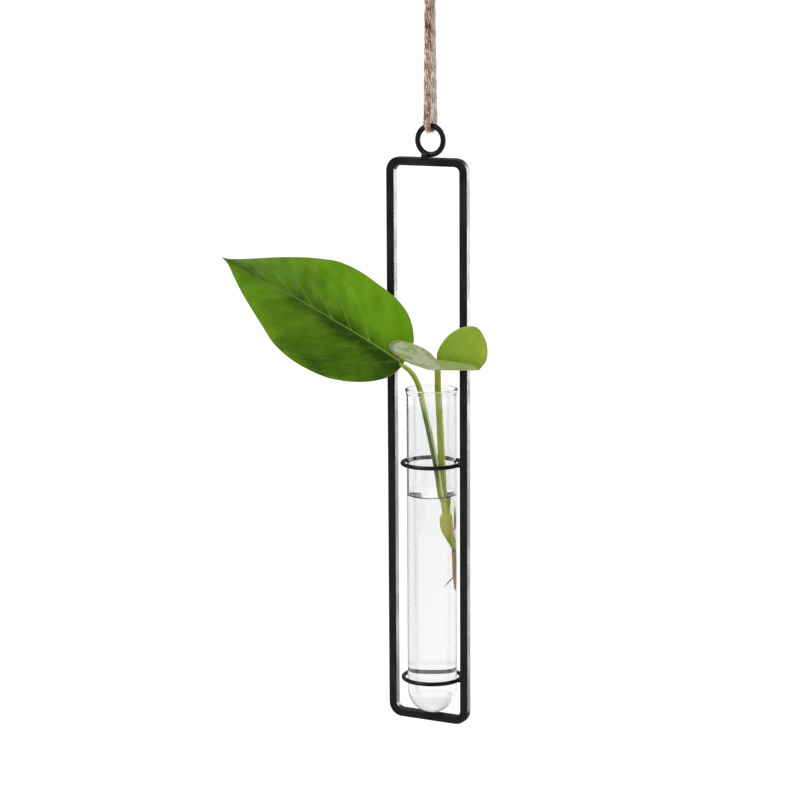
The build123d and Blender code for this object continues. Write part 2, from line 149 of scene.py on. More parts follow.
def sweep(bm, line, radii, sides, fibre_twist=0.0, shape=None):
    """Adds a closed tube along a line. "fibre" keeps each point's place in the bundle, as if it were unrolled."""
    part = bmesh.new()
    fibre = part.verts.layers.float_vector.new("fibre")
    frames = frames_along(line)
    walked = 0.0

    def mark(verts, placed):
        back = placed.inverted()
        for v in verts:
            local = back @ v.co
            turn = fibre_twist * walked
            v[fibre] = (local.x * cos(turn) + local.y * sin(turn), local.y * cos(turn) - local.x * sin(turn), walked)

    ring = bmesh.ops.create_circle(part, cap_ends=False, radius=radii[0], segments=sides, matrix=frames[0])["verts"]
    if shape:
        back = frames[0].inverted()
        for v in ring:
            local = back @ v.co
            share = shape(atan2(local.y, local.x))
            v.co = frames[0] @ Vector((local.x * share, local.y * share, 0))
    edges = list(part.edges)
    bmesh.ops.edgeloop_fill(part, edges=edges)
    mark(ring, frames[0])
    for i in range(1, len(frames)):
        grown = bmesh.ops.extrude_edge_only(part, edges=edges)["geom"]
        ring = {g for g in grown if isinstance(g, bmesh.types.BMVert)}
        edges = [g for g in grown if isinstance(g, bmesh.types.BMEdge) and g.verts[0] in ring and g.verts[1] in ring]
        size = radii[i] / radii[i - 1]
        step = frames[i] @ Matrix.Diagonal((size, size, 1, 1)) @ frames[i - 1].inverted()
        bmesh.ops.transform(part, matrix=step, verts=list(ring))
        walked += (Vector(line[i]) - Vector(line[i - 1])).length
        mark(ring, frames[i])
    bmesh.ops.edgeloop_fill(part, edges=edges)
    bmesh.ops.recalc_face_normals(part, faces=part.faces)
    append(bm, part)


def roughen(bm, size, scale, seed):
    """Moves each point a little along its normal, so that a grown thing isn't perfectly even."""
    bm.normal_update()
    offset = Vector((seed * 7.3, seed * 3.1, seed * 5.7))
    moves = [(v, v.normal * size * noise.noise(v.co * scale + offset)) for v in bm.verts]
    for v, move in moves:
        v.co += move


# ---- Finishes ----


class Finish:
    """A material with one Principled shader, and short words for the nodes in front of it."""

    def __init__(self, name, **sockets):
        self.material = bpy.data.materials.new(name)
        self.material.use_nodes = True
        self.tree = self.material.node_tree
        self.shader = self.tree.nodes["Principled BSDF"]
        for socket, value in sockets.items():
            self.shader.inputs[socket.replace("_", " ")].default_value = value

    def node(self, kind, settings=None, **inputs):
        made = self.tree.nodes.new(kind)
        for key, value in (settings or {}).items():
            setattr(made, key, value)
        for key, value in inputs.items():
            self.feed(made.inputs[key], value)
        return made

    def feed(self, socket, value):
        if isinstance(value, bpy.types.NodeSocket):
            self.tree.links.new(value, socket)
        else:
            socket.default_value = value

    def place(self):
        return self.node("ShaderNodeTexCoord").outputs["Object"]

    def mark(self, name):
        return self.node("ShaderNodeAttribute", {"attribute_name": name}).outputs["Vector"]

    def axis(self, vector, axis):
        return self.node("ShaderNodeSeparateXYZ", None, Vector=vector).outputs[axis]

    def stretched(self, vector, scale):
        return self.node("ShaderNodeMapping", None, Vector=vector, Scale=scale).outputs["Vector"]

    def grain(self, vector, scale, detail=4.0, roughness=0.55):
        made = self.node("ShaderNodeTexNoise", None, Vector=vector, Scale=scale, Detail=detail, Roughness=roughness)
        return made.outputs["Fac"]

    def sum(self, kind, a, b=0.0, c=0.0, clamp=False):
        made = self.node("ShaderNodeMath", {"operation": kind, "use_clamp": clamp})
        for socket, value in zip(made.inputs, (a, b, c)):
            self.feed(socket, value)
        return made.outputs[0]

    def span(self, value, low, high, to_low=0.0, to_high=1.0):
        made = self.node("ShaderNodeMapRange", {"interpolation_type": "SMOOTHSTEP"}, Value=value)
        for socket, number in zip(made.inputs[1:5], (low, high, to_low, to_high)):
            socket.default_value = number
        return made.outputs["Result"]

    def mix(self, share, a, b):
        made = self.node("ShaderNodeMix", {"data_type": "RGBA"})
        self.feed(made.inputs[0], share)
        self.feed(made.inputs[6], a)
        self.feed(made.inputs[7], b)
        return made.outputs[2]

    def colour(self, value):
        self.feed(self.shader.inputs["Base Color"], value)

    def roughness(self, value):
        self.feed(self.shader.inputs["Roughness"], value)

    def bump(self, height, strength, depth):
        made = self.node("ShaderNodeBump", None, Height=height, Strength=strength, Distance=depth)
        self.feed(self.shader.inputs["Normal"], made.outputs["Normal"])


def black_paint():
    """Satin black powder coat: a fine orange peel, and duller patches from handling."""
    f = Finish("black_powder_coat", Specular_IOR_Level=0.34)
    place = f.place()
    patches = f.grain(place, 55.0, 3.0)
    f.colour(f.mix(f.span(patches, 0.35, 0.7), (0.007, 0.007, 0.0075, 1), (0.014, 0.014, 0.015, 1)))
    f.roughness(f.span(patches, 0.3, 0.75, 0.30, 0.42))
    f.bump(f.grain(place, 1400.0, 2.0), 0.06, 0.0003)
    return f.material


def clear_glass():
    f = Finish("clear_glass", Base_Color=(0.975, 0.98, 0.982, 1), Transmission_Weight=1.0, IOR=1.5, Roughness=0.0)
    return f.material


def clear_water():
    f = Finish("clear_water", Base_Color=(0.995, 0.997, 0.992, 1), Transmission_Weight=1.0, IOR=1.33, Roughness=0.0)
    return f.material


def jute():
    """Jute yarn: long fibres from straw to brown, pale loose ones on top, dark flecks of painted shade for the gaps
    between them, and a painted highlight that makes the back strands paler.
    """
    f = Finish("jute", Specular_IOR_Level=0.1, Sheen_Weight=0.12, Sheen_Roughness=0.5)
    bundle = f.mark("fibre")
    strands = f.grain(f.stretched(bundle, (1.0, 1.0, 0.09)), 1.0, 5.0, 0.66)
    flecks = f.grain(f.stretched(bundle, (1.0, 1.0, 0.12)), 1.55, 3.0, 0.6)
    # Painted highlight: the strands towards the back (+Y) are painted paler, as if lit from behind.
    painted_lit_side = f.span(f.axis(f.place(), 1), -0.001, 0.004)
    base = f.mix(f.span(strands, 0.42, 0.56), (0.15, 0.065, 0.025, 1), (0.62, 0.42, 0.24, 1))
    base = f.mix(f.sum("MULTIPLY", painted_lit_side, f.span(strands, 0.36, 0.48, 0.45, 1.0)), base, (0.99, 0.88, 0.78, 1))
    pale = f.mix(f.span(flecks, 0.53, 0.60), base, (0.98, 0.92, 0.84, 1))
    # Painted shade: dark flecks stand in for the shaded gaps between the fibres.
    f.colour(f.mix(f.span(flecks, 0.37, 0.44, 0.95, 0.0), pale, (0.10, 0.045, 0.020, 1)))
    f.roughness(f.span(strands, 0.3, 0.7, 0.95, 0.7))
    f.bump(strands, 0.9, 0.0006)
    return f.material


def leaf_face(name, tones, upper, lower, rim, vein_colour, gloss):
    """The upper side of a leaf, with painted light and shade: the upper half is painted lighter than the lower, each
    half shades from its foot to its tip, and painted shade lies beside the midrib towards the foot; with soft clouds, a
    lighter rim and light veins.
    """
    f = Finish(name, Specular_IOR_Level=0.12, Subsurface_Weight=0.05, Subsurface_Radius=(0.3, 0.6, 0.1), Subsurface_Scale=0.002)
    place = f.place()
    blade = f.mark("blade")
    veins = f.axis(f.mark("veins"), 0)
    along = f.axis(blade, 0)
    side = f.axis(blade, 1)
    clouds = f.grain(place, 48.0, 5.0, 0.6)
    fine = f.grain(place, 520.0, 3.0, 0.6)
    fan = f.grain(f.stretched(blade, (42.0, 2.2, 0.0)), 1.0, 3.0, 0.6)
    # Painted light and shade: each half gets its own lit or shaded ramp from foot to tip.
    halves = f.mix(f.span(side, -0.05, 0.05), (1, 1, 1, 1), (0, 0, 0, 1))
    share = f.mix(halves, f.span(along, 0.35, 1.0, *lower), f.span(along, 0.35, 1.0, *upper))
    # Painted shade beside the midrib, strongest towards the foot.
    share = f.sum("ADD", share, f.sum("MULTIPLY", f.span(f.axis(blade, 2), 0.0, 13.0, -0.50, 0.0), f.span(along, 0.66, 0.92, 1.15, 0.25)))
    share = f.sum("ADD", share, f.sum("ADD", f.sum("MULTIPLY_ADD", clouds, 1.0, -0.5), f.sum("MULTIPLY_ADD", fan, 0.5, -0.25)), clamp=True)
    body = f.mix(share, tones[0], tones[1])
    body = f.mix(f.sum("MULTIPLY", f.span(f.sum("ABSOLUTE", side), 0.72, 0.99), f.span(clouds, 0.35, 0.65, 0.1, 0.7)), body, rim)
    body = f.mix(f.span(fine, 0.50, 0.80, 0.0, 0.22), body, rim)
    f.colour(f.mix(veins, body, vein_colour))
    f.roughness(f.span(clouds, 0.3, 0.7, gloss, gloss + 0.12))
    f.bump(f.sum("MULTIPLY_ADD", fine, 0.2, f.sum("MULTIPLY_ADD", fan, 0.5, f.sum("MULTIPLY", veins, -1.0))), 0.4, 0.0004)
    return f.material


def leaf_back(name, pale, green, streak, dark_edge):
    """The underside: pale and dull, streaked along the side veins, with a dark line of painted shade where the leaf's
    edge turns.
    """
    f = Finish(name, Specular_IOR_Level=0.2, Subsurface_Weight=0.05, Subsurface_Radius=(0.3, 0.6, 0.1), Subsurface_Scale=0.002)
    place = f.place()
    blade = f.mark("blade")
    veins = f.axis(f.mark("veins"), 0)
    along = f.axis(blade, 0)
    reach = f.sum("ABSOLUTE", f.axis(blade, 1))
    clouds = f.grain(place, 120.0, 5.0, 0.65)
    fan = f.grain(f.stretched(blade, (26.0, 1.6, 0.0)), 1.0, 4.0, 0.6)
    body = f.mix(f.span(clouds, 0.42, 0.60), pale, green)
    body = f.mix(f.span(fan, 0.45, 0.72, 0.0, 0.55), body, streak)
    body = f.mix(f.sum("MULTIPLY", f.span(along, 0.52, 0.75), 0.8), body, green)
    # Painted shade along the edge where the leaf turns.
    body = f.mix(f.sum("MULTIPLY", f.span(reach, 0.90, 0.985), dark_edge), body, (0.035, 0.075, 0.012, 1))
    f.colour(f.mix(f.sum("MULTIPLY", veins, 0.5), body, streak))
    f.roughness(f.span(clouds, 0.3, 0.7, 0.48, 0.62))
    f.bump(f.sum("ADD", fan, veins), 0.35, 0.0004)
    return f.material


def stalk(name, left, right, painted_highlight, dim=None, through=0.0, foot=None):
    """A green stalk: one flank painted darker as shade, a painted highlight along the other, long fine streaks, and
    another tone between two heights.

    Thin or juicy tissue also lets light through. Below the water a stalk may pass into the stem's tone.
    """
    f = Finish(name, Transmission_Weight=through, IOR=1.12 if through else 1.45, Specular_IOR_Level=0.06, Subsurface_Weight=0.08, Subsurface_Radius=(0.4, 0.6, 0.2), Subsurface_Scale=0.002)
    bundle = f.mark("fibre")
    # Painted light and shade: "across" runs from the shaded flank to the lit one.
    across = f.sum("MULTIPLY_ADD", f.axis(bundle, 1), 0.47, f.sum("MULTIPLY", f.axis(bundle, 0), 0.88))
    streaks = f.grain(f.stretched(bundle, (1.0, 1.0, 0.06)), 1.7, 5.0, 0.65)
    share = f.sum("ADD", f.span(across, -1.2, 0.8), f.span(streaks, 0.32, 0.68, -0.35, 0.35), clamp=True)
    body = f.mix(share, left, right)
    # Painted highlight along the lit flank.
    body = f.mix(f.sum("MULTIPLY", f.span(across, 0.65, 1.25), f.span(streaks, 0.38, 0.6, 0.25, 0.9)), body, painted_highlight)
    if dim:
        low, high, tone = dim
        height = f.axis(f.place(), 2)
        within = f.sum("MULTIPLY", f.span(height, (low - 8) * mm, (low + 5) * mm), f.span(height, (high - 8) * mm, (high + 6) * mm, 1.0, 0.0))
        body = f.mix(f.sum("MULTIPLY", within, f.span(across, 0.35, 0.9, 0.92, 0.1)), body, tone)
    if foot:
        body = f.mix(f.span(f.axis(f.place(), 2), (water_z - 2.0) * mm, (water_z + 0.5) * mm, 0.9, 0.0), body, foot)
    f.colour(body)
    f.roughness(f.span(streaks, 0.3, 0.7, 0.32, 0.45))
    f.bump(streaks, 0.3, 0.0003)
    return f.material


def root_skin(name, dark, light, tip_z):
    """Root bark: painted shade darkens one flank and the other is tan, and it is darkest at the growing tip."""
    f = Finish(name, Specular_IOR_Level=0.3)
    bundle = f.mark("fibre")
    rough = f.grain(f.stretched(bundle, (1.0, 1.0, 0.25)), 1.9, 5.0, 0.65)
    across = f.sum("MULTIPLY_ADD", f.axis(bundle, 1), 0.47, f.sum("MULTIPLY", f.axis(bundle, 0), 0.88))
    # Painted light and shade: "lit" is dark on the shaded flank and tan on the lit one.
    lit = f.sum("ADD", f.span(rough, 0.35, 0.7, -0.25, 0.35), f.span(across, -0.9, 0.1), clamp=True)
    body = f.mix(lit, dark, light)
    body = f.mix(f.span(f.axis(f.place(), 2), -381.5 * mm, -379.0 * mm, 0.0, 0.7), body, dark)
    f.colour(f.mix(f.span(f.axis(f.place(), 2), tip_z * mm, (tip_z + 4.0) * mm, 0.95, 0.0), body, (0.012, 0.006, 0.004, 1)))
    f.roughness(f.span(rough, 0.3, 0.7, 0.75, 0.55))
    f.bump(rough, 0.7, 0.0004)
    return f.material


paint = black_paint()
glass = clear_glass()
water_finish = clear_water()
jute_finish = jute()
# The large leaf's upper half is painted lighter than its lower half: painted light and shade.
large_face = leaf_face(
    "large_leaf_face", ((0.024, 0.063, 0.0010, 1), (0.145, 0.338, 0.0030, 1)), (1.08, 0.30), (0.26, 0.50), (0.15, 0.31, 0.005, 1),
    (0.21, 0.35, 0.040, 1), 0.38,
)
large_back = leaf_back(
    "large_leaf_back", (0.15, 0.25, 0.05, 1), (0.10, 0.19, 0.03, 1), (0.20, 0.30, 0.08, 1), 0.0
)
small_face = leaf_face(
    "small_leaf_face", ((0.17, 0.31, 0.018, 1), (0.32, 0.43, 0.040, 1)), (0.5, 0.5), (0.40, 0.62), (0.55, 0.57, 0.10, 1),
    (0.38, 0.45, 0.085, 1), 0.42,
)
small_back = leaf_back(
    "small_leaf_back", (0.57, 0.59, 0.42, 1), (0.33, 0.46, 0.10, 1), (0.76, 0.75, 0.64, 1), 0.6
)
# For both leaf stalks the band between the two heights lies inside the tube and is painted shade.
large_stalk = stalk(
    "large_leaf_stalk", (0.15, 0.22, 0.008, 1), (0.38, 0.47, 0.045, 1), (0.86, 0.93, 0.52, 1),
    (-333.0, -291.0, (0.028, 0.085, 0.002, 1)), 0.0, (0.70, 0.74, 0.09, 1),
)
small_stalk = stalk(
    "small_leaf_stalk", (0.24, 0.285, 0.010, 1), (0.37, 0.42, 0.030, 1), (0.66, 0.70, 0.20, 1),
    (-352.0, -290.0, (0.235, 0.295, 0.006, 1)), 0.0, (0.70, 0.74, 0.09, 1),
)
stem_finish = stalk(
    "stem", (0.64, 0.66, 0.065, 1), (0.88, 0.88, 0.20, 1), (0.95, 0.94, 0.50, 1), (-379.0, -369.0, (0.46, 0.60, 0.02, 1)), 0.35,
)
sheath_finish = stalk("sheath", (0.93, 0.94, 0.74, 1), (0.96, 0.96, 0.84, 1), (0.98, 0.98, 0.92, 1), through=1.0)
bud_finish = stalk("bud", (0.07, 0.11, 0.012, 1), (0.22, 0.30, 0.04, 1), (0.40, 0.48, 0.10, 1))
root_finish = root_skin("root_skin", (0.10, 0.035, 0.004, 1), (0.64, 0.31, 0.030, 1), -404.5)
rootlet_finish = root_skin("rootlet_skin", (0.10, 0.06, 0.03, 1), (0.28, 0.20, 0.12, 1), -410.0)

painted = [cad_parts[name] for name in ("frame_bar", "hanging_eye", "upper_holder_ring", "lower_holder_ring")]
for node in painted:
    node.data.materials.clear()
    node.data.materials.append(paint)


def build_weld():
    """Ripples of weld metal over the bead at the eye's foot."""
    bm = bmesh.new()
    draw = random.Random(3)
    for k in range(6):
        share = k / 5
        centre = Vector((-4.3 + 3.4 * share, -2.9 + 0.5 * abs(share - 0.5), -142.6 + 2.0 * share))
        turn = Matrix.Rotation(draw.uniform(-0.3, 0.3), 4, "Z") @ Matrix.Rotation(0.55, 4, "Y")
        shape = Matrix.Diagonal((0.75, 1.25, 1.55 + 0.5 * sin(pi * share), 1))
        bmesh.ops.create_uvsphere(bm, u_segments=24, v_segments=14, radius=1.0, matrix=Matrix.Translation(centre) @ turn @ shape)
    roughen(bm, 0.15, 0.9, 1)
    return add_piece("eye_weld", bm, [paint], "frame")


painted.append(build_weld())


# ---- Glass tube and water ----


def build_tube():
    bottom_centre = tube_bottom_z + tube_radius
    outer = arc(bottom_centre, tube_radius, 0, 90, 30)
    lip = smooth_line(
        [
            (tube_radius, rim_z - 4.0), (15.12, rim_z - 3.0), (15.5, rim_z - 2.1), (15.78, rim_z - 1.35), (15.72, rim_z - 0.6),
            (15.3, rim_z - 0.1), (14.8, rim_z), (14.3, rim_z - 0.2), (14.03, rim_z - 0.8), (13.95, rim_z - 1.6),
            (13.72, rim_z - 2.7), (bore_radius, rim_z - 4.0),
        ],
        34,
    )
    inner = arc(bottom_centre, bore_radius, 90, 0, 30)
    walls = [(tube_radius, z) for z in np.linspace(bottom_centre, rim_z - 4.0, 20)[1:-1]]
    bore = [(bore_radius, z) for z in np.linspace(rim_z - 4.0, bottom_centre, 20)[1:-1]]
    profile = outer + walls + [tuple(p) for p in lip] + bore + inner
    profile[0] = (0, profile[0][1])
    profile[-1] = (0, profile[-1][1])
    return add_piece("tube", spun(profile, 128), [glass], "tube", ["glass_tube"])


def build_water():
    """The water reaches a hair into the glass, so that no film of air shows between them."""
    radius = bore_radius + 0.05
    bottom_centre = tube_bottom_z + tube_radius
    bottom = arc(bottom_centre, radius, 0, 90, 30)
    side = [(radius, z) for z in np.linspace(bottom_centre, water_z + 1.4, 20)[1:]]
    inward = (0.1, 0.2, 0.35, 0.5, 0.7, 0.95, 1.25, 1.6, 2.1, 2.8, 3.8, 5.2, 7.0, 9.5, 11.5)
    top = [(radius - d, water_z + 1.4 * exp(-d / 1.0)) for d in inward]
    profile = bottom + side + top + [(0, water_z)]
    profile[0] = (0, profile[0][1])
    return add_piece("water_fill", spun(profile, 128), [water_finish], "tube", ["water"], crease=35)


def build_drops():
    """A drop on the inner wall above the water, and a few small bubbles that cling near the bottom."""
    bm = bmesh.new()
    turn = Matrix.Rotation(facing_turn, 4, "Z")
    bottom_centre = tube_bottom_z + tube_radius
    clinging = (
        (-5.5, -334.9, 0.62), (-6.3, -339.5, 0.22), (4.6, -472.6, 0.42), (5.4, -473.6, 0.26), (3.4, -474.2, 0.30),
        (6.4, -471.0, 0.24), (2.2, -473.0, 0.20), (7.2, -469.0, 0.32),
    )
    for right, height, size in clinging:
        reach = bore_radius - 0.12 if height > water_z else bore_radius - 0.9
        reach = sqrt(reach**2 - max(0.0, bottom_centre - height) ** 2)
        wall = place_at(right, sqrt(reach * reach - right * right), height)
        shape = Matrix.Diagonal((size, size * 0.55, size * 1.15, 1))
        bmesh.ops.create_uvsphere(bm, u_segments=24, v_segments=16, radius=1.0, matrix=Matrix.Translation(wall) @ turn @ shape)
    add_piece("wall_drops", bm, [water_finish], "tube")


build_tube()
build_water()
build_drops()


# ---- Leaves ----


def facing_axes(twist):
    """A leaf's own axes: up the leaf, across it, and out of its face."""
    out = Vector((sin(facing_turn) * cos(facing_rise), -cos(facing_turn) * cos(facing_rise), sin(facing_rise)))
    across = Vector((cos(facing_turn), sin(facing_turn), 0))
    along = across * cos(twist) + out.cross(across) * sin(twist)
    return along, out.cross(along), out


def leaf_half(midrib, margin, spread, lean, rows, columns):
    """Points of half a leaf: rows run from the midrib to the margin the way its side veins do."""
    ribs = smooth_line(midrib, 400)
    edge = smooth_line(margin, rows)
    net = []
    for i in range(rows):
        share = i / (rows - 1)
        foot = ribs[min(399, round(399 * share**spread))]
        reach = edge[i] - foot
        knee = foot + np.array([lean[0] * reach[0], lean[1] * reach[1]])
        net.append([foot * (1 - q) ** 2 + knee * 2 * q * (1 - q) + edge[i] * q * q for q in np.linspace(0, 1, columns)])
    return np.array(net)


def vein_strength(net, veins, width):
    """How much of a vein each point has: 1 on its line, fading beside it and towards its end."""
    points = net.reshape(-1, 2)
    strength = np.zeros(len(points))
    for line, weight in veins:
        dense = smooth_line(line, 70)
        share = np.linspace(0, 1, 70)
        away = np.sqrt(((points[:, None, :] - dense[None, :, :]) ** 2).sum(2))
        near = away.argmin(1)
        taper = 1 - 0.55 * share[near]
        strength = np.maximum(strength, weight * taper * np.exp(-((away.min(1) / (width * taper)) ** 2)))
    return strength.reshape(net.shape[:2])


def leaf_mesh(halves, depth, origin, axes, veins, vein_width, midrib_width, quilt):
    """One sheet from two halves that share the midrib. "blade" keeps share along, side and reach; "veins" the veins."""
    bm = bmesh.new()
    rows, columns = halves[0].shape[:2]
    bmesh.ops.create_grid(bm, x_segments=rows - 1, y_segments=2 * columns - 2, size=1.0)
    blade = bm.verts.layers.float_vector.new("blade")
    vein_mark = bm.verts.layers.float_vector.new("veins")
    along, across, out = axes
    strengths = [vein_strength(half, found, vein_width) for half, found in zip(halves, veins)]
    for v in bm.verts:
        i = round((v.co.x + 1) / 2 * (rows - 1))
        j = round(v.co.y * (columns - 1))
        half = 0 if j <= 0 else 1
        x, y = halves[half][i][abs(j)]
        foot = halves[half][i][0]
        from_midrib = sqrt((x - foot[0]) ** 2 + (y - foot[1]) ** 2)
        middle = exp(-((from_midrib / (midrib_width * (1.15 - 0.6 * i / (rows - 1)))) ** 2))
        side_vein = strengths[half][i][abs(j)]
        v[blade] = (i / (rows - 1), j / (columns - 1), from_midrib)
        v[vein_mark] = (min(1.0, max(0.95 * middle, side_vein)), middle, side_vein)
        lift = depth(x, y, half) + quilt(x, y, abs(j) / (columns - 1)) - 0.10 * side_vein - 0.2 * middle
        v.co = origin + along * x + across * y + out * lift
    bmesh.ops.remove_doubles(bm, verts=bm.verts, dist=1e-3)
    return bm


def face_towards(bm, way, side):
    """Turns a sheet over if the half on the given side looks away from a direction."""
    bmesh.ops.recalc_face_normals(bm, faces=bm.faces)
    blade = bm.verts.layers.float_vector["blade"]
    looks = sum(f.normal.dot(way) for f in bm.faces if f.verts[0][blade].y * side > 0.2)
    if looks < 0:
        bmesh.ops.reverse_faces(bm, faces=list(bm.faces))


def thicken(piece, thickness):
    """Gives a leaf its thickness, with the second finish on the side that the first one's normals turn away from."""
    solid = piece.modifiers.new("thickness", "SOLIDIFY")
    solid.thickness = thickness * mm
    solid.offset = 0
    solid.material_offset = 1
    solid.use_even_offset = False
    return piece


large_midrib = [(0.4, 0.0), (4.4, -1.5), (24.1, -2.4), (44.9, -2.6), (70.7, -2.6), (95.8, -1.7), (112.0, -1.2), (126.7, -1.1)]
large_upper = [
    (0.4, -1.6), (0.7, -8.0), (1.6, -15.1), (4.8, -20.1), (9.5, -24.9), (16.0, -29.4), (24.5, -32.5), (31.3, -33.8), (38.6, -34.5),
    (51.4, -35.5), (64.0, -34.2), (74.2, -30.4), (84.5, -25.4), (98.6, -17.2), (112.9, -8.0), (122.6, -2.4), (126.7, -1.1),
]
large_lower = [
    (0.6, 1.2), (1.4, 3.7), (3.0, 7.8), (7.2, 13.4), (15.1, 19.7), (23.5, 24.4), (33.0, 28.2), (43.6, 30.1), (55.3, 30.6),
    (65.2, 29.6), (74.4, 27.1), (83.9, 22.3), (93.6, 17.4), (105.2, 11.2), (114.9, 5.1), (121.5, 0.7), (126.7, -1.1),
]
large_upper_veins = [
    ([(2.5, -0.8), (6.0, -5.5), (11.0, -12.0), (18.5, -19.0), (28.0, -26.0), (36.0, -31.0)], 0.45),
    ([(13.0, -2.0), (16.0, -5.5), (24.5, -13.5), (35.5, -21.5), (46.0, -27.0), (55.0, -31.0)], 0.40),
    ([(24.4, -2.9), (27.3, -5.3), (35.9, -14.1), (47.2, -21.3), (59.1, -26.2), (66.6, -28.1), (78.0, -27.8)], 1.0),
    ([(37.0, -2.6), (42.0, -6.5), (51.0, -13.5), (62.0, -19.0), (74.0, -22.5), (84.0, -23.5)], 0.45),
    ([(50.0, -2.6), (56.0, -6.5), (65.5, -12.0), (76.0, -16.0), (88.0, -18.5)], 0.50),
    ([(63.0, -2.6), (69.0, -5.8), (79.0, -10.5), (90.0, -13.5), (99.0, -14.8)], 0.42),
    ([(76.0, -2.5), (83.0, -5.0), (92.0, -8.5), (103.0, -10.8)], 0.35),
    ([(90.0, -2.0), (97.0, -3.8), (106.0, -6.0), (113.0, -7.0)], 0.28),
]
large_lower_veins = [
    ([(4.0, -1.0), (9.5, 3.0), (19.0, 9.5), (31.0, 15.5), (45.0, 20.5), (57.0, 23.5)], 0.23),
    ([(17.0, -2.0), (24.0, 1.8), (35.0, 7.0), (49.0, 12.5), (63.0, 16.8), (74.0, 19.5)], 0.20),
    ([(32.0, -2.4), (40.0, 1.2), (52.0, 5.5), (66.0, 9.8), (79.0, 13.2), (90.0, 15.5)], 0.17),
    ([(48.0, -2.4), (57.0, 0.6), (69.0, 4.2), (82.0, 7.6), (96.0, 10.5)], 0.15),
    ([(66.0, -2.4), (75.0, 0.0), (87.0, 2.8), (101.0, 5.4)], 0.13),
    ([(84.0, -2.0), (93.0, -0.5), (104.0, 1.4), (112.0, 2.4)], 0.10),
]
large_arch_radius = 290.0


def large_depth(x, y, half):
    """A gull wing across, arched back from foot to tip."""
    from_midrib = abs(y + 2.4)
    fall = (0.0324 if half == 0 else 0.0485) * from_midrib**1.5
    return sqrt((large_arch_radius - fall) ** 2 - x * x) - large_arch_radius


def large_quilt(x, y, reach):
    """Soft swellings between the side veins, and a slow wave along the margin."""
    swell = noise.noise(Vector((x * 0.055, y * 0.05, 3.7)))
    fold = sin((x - 0.75 * abs(y)) * 2 * pi / 13.0)
    return (0.22 * fold + 0.6 * swell) * sin(pi * min(1.0, reach * 1.05)) + 0.3 * sin(x * 0.085 + 0.8) * reach**3


def build_large_leaf():
    halves = [
        leaf_half(large_midrib, large_upper, 3.3, (0.35, 0.90), 240, 66),
        leaf_half(large_midrib, large_lower, 3.0, (0.34, 0.74), 240, 66),
    ]
    bm = leaf_mesh(
        halves, large_depth, place_at(-17.2, 14.5, rim_z + 16.0), facing_axes(radians(149)),
        (large_upper_veins, large_lower_veins), 0.52, 0.55, large_quilt,
    )
    face_towards(bm, facing_axes(0.0)[2], 1)
    leaf = add_piece("large_leaf_blade", bm, [large_face, large_back], "cutting", ["large_leaf"])
    return thicken(leaf, 0.5)


small_base = place_at(3.55, 18.3, rim_z + 14.6)
small_cup_turn = radians(8)
small_cup_radius = 75.0
small_near_margin = [
    (-0.4, -0.6), (-4.0, -0.6), (-8.4, 0.6), (-16.0, 3.3), (-21.9, 6.2), (-26.0, 9.2), (-28.7, 13.2), (-26.8, 15.6), (-22.7, 16.6),
    (-15.1, 14.6), (-9.4, 11.6), (-5.3, 7.9), (-2.5, 5.5), (9.2, 3.9), (21.0, 1.4), (23.9, -1.0),
]
small_far_margin = [
    (-0.4, -0.6), (-0.5, 5.5), (0.1, 10.3), (3.6, 16.6), (8.8, 21.5), (14.0, 24.1), (19.8, 24.8), (23.7, 23.2), (26.8, 18.3),
    (28.4, 13.2), (28.6, 7.4), (27.3, 3.3), (23.9, -1.0),
]
small_midrib = [(-0.4, -0.6), (6.0, -0.7), (13.0, -0.85), (19.0, -0.95), (23.9, -1.0)]
near_forward = [(-0.5, 0.2), (0.7, 1.1), (2.1, 2.0), (6.1, 4.5), (12.0, 8.2), (20.0, 12.6), (26.0, 15.0)]
far_forward = [(-0.5, 0.2), (0.5, -0.35), (1.7, -0.8), (10.0, -1.7), (20.0, -2.7), (30.0, -3.6), (36.0, -4.1)]
small_near_veins = [
    ([(0.0, 0.2), (-7.0, 2.6), (-15.0, 6.6), (-24.0, 12.0)], 0.6),
    ([(0.5, 1.5), (-6.0, 5.4), (-13.0, 10.0), (-20.0, 14.6)], 0.55),
    ([(1.0, 0.0), (-8.0, 1.2), (-16.0, 4.8), (-25.0, 9.6)], 0.5),
]
small_far_veins = [
    ([(0.5, 0.2), (1.5, 6.0), (5.0, 12.5), (10.5, 19.5)], 0.45),
    ([(1.5, 0.0), (4.5, 6.0), (9.5, 12.5), (15.5, 20.5)], 0.5),
    ([(3.5, -0.2), (9.0, 5.8), (15.0, 11.5), (21.0, 19.0)], 0.5),
    ([(6.5, -0.4), (13.0, 4.2), (19.0, 8.8), (25.0, 14.5)], 0.45),
    ([(11.0, -0.6), (17.5, 2.8), (22.5, 5.6), (27.0, 9.0)], 0.35),
]


def small_depth_finder(axes):
    """How far out each point of the small leaf's outline lies, on a fold that is cupped round an upright axis in front."""
    along, across, out = axes
    front = Vector((sin(small_cup_turn), -cos(small_cup_turn), 0))
    cup_axis = small_base + front * small_cup_radius

    def depth(x, y, half):
        heights, forwards = zip(*(near_forward if half == 0 else far_forward))
        low, high = -12.0, 34.0
        for _ in range(26):
            middle = (low + high) / 2
            point = small_base + along * x + across * y + out * middle
            reach = small_cup_radius - sqrt((point.x - cup_axis.x) ** 2 + (point.y - cup_axis.y) ** 2)
            if reach > np.interp(point.z - small_base.z, heights, forwards):
                high = middle
            else:
                low = middle
        return (low + high) / 2

    return depth


